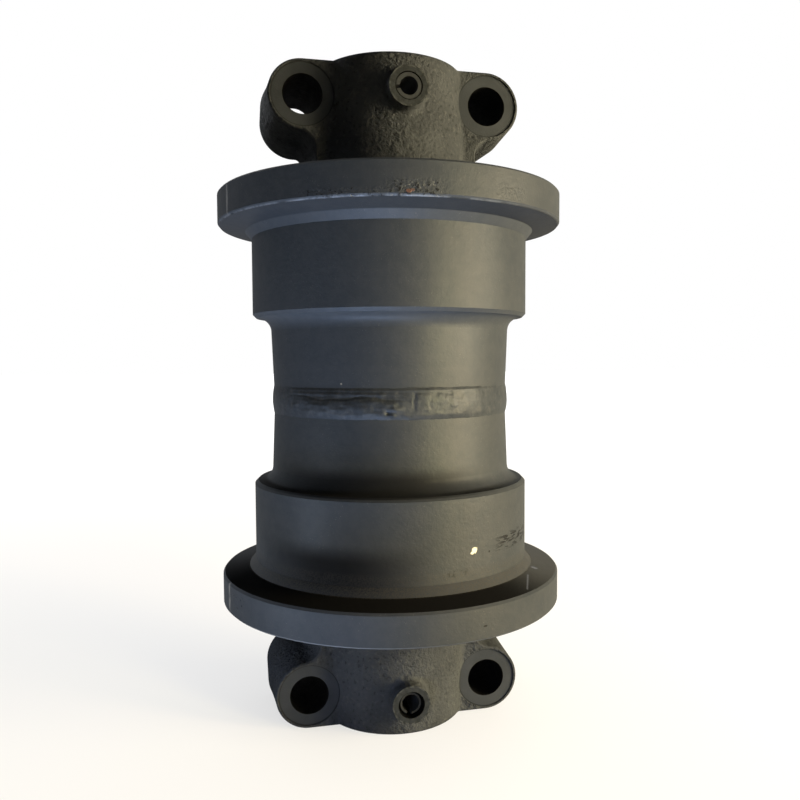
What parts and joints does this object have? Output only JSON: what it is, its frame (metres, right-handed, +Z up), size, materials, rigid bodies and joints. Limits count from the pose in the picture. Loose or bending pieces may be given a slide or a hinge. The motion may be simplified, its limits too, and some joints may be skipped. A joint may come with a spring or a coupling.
{
  "type": "excavator track roller",
  "caption": "Flanged track roller spool that spins on a fixed axle between two bolted cast collars.",
  "frame": {"origin": "centre of the lower collar's end face, on which the roller stands", "axes": "+Z up along the axle; +Y out of the machined faces that bolt to the track frame; the bolt heads and lock pins face -Y; the bolt ears lie along X"},
  "size_m": [0.22, 0.22, 0.416],
  "materials": {
    "shell_paint": "satin near-black paint over turned forged steel",
    "collar_paint": "satin black paint over a sand-cast skin",
    "axle_steel": "ground steel",
    "pin_steel": "dark spring steel",
    "plug_steel": "blackened steel",
    "plug_washer": "soft aluminium",
    "bushing_bronze": "turned bronze",
    "seal_steel": "lapped hard iron",
    "rubber": "matt nitrile rubber"
  },
  "bodies": {
    "axle_assembly": {"axle": "axle_steel", "oil_plug": "plug_steel", "oil_plug_washer": "plug_washer", "upper_lock_pin": "pin_steel", "upper_collar_seal_ring": "seal_steel", "upper_collar_toric": "rubber", "upper_axle_o_ring": "rubber", "upper_collar": "collar_paint", "lower_lock_pin": "pin_steel", "lower_collar_seal_ring": "seal_steel", "lower_collar_toric": "rubber", "lower_axle_o_ring": "rubber", "lower_collar": "collar_paint"},
    "roller": {"roller_shell": "shell_paint", "upper_bushing": "bushing_bronze", "upper_shell_seal_ring": "seal_steel", "upper_shell_toric": "rubber", "lower_bushing": "bushing_bronze", "lower_shell_seal_ring": "seal_steel", "lower_shell_toric": "rubber"}
  },
  "joints": [
    {"name": "roller_spin", "type": "hinge", "parent": "axle_assembly", "child": "roller", "pos_m": [0, 0, 0.208], "axis": [0, 0, 1], "continuous": true}
  ]
}
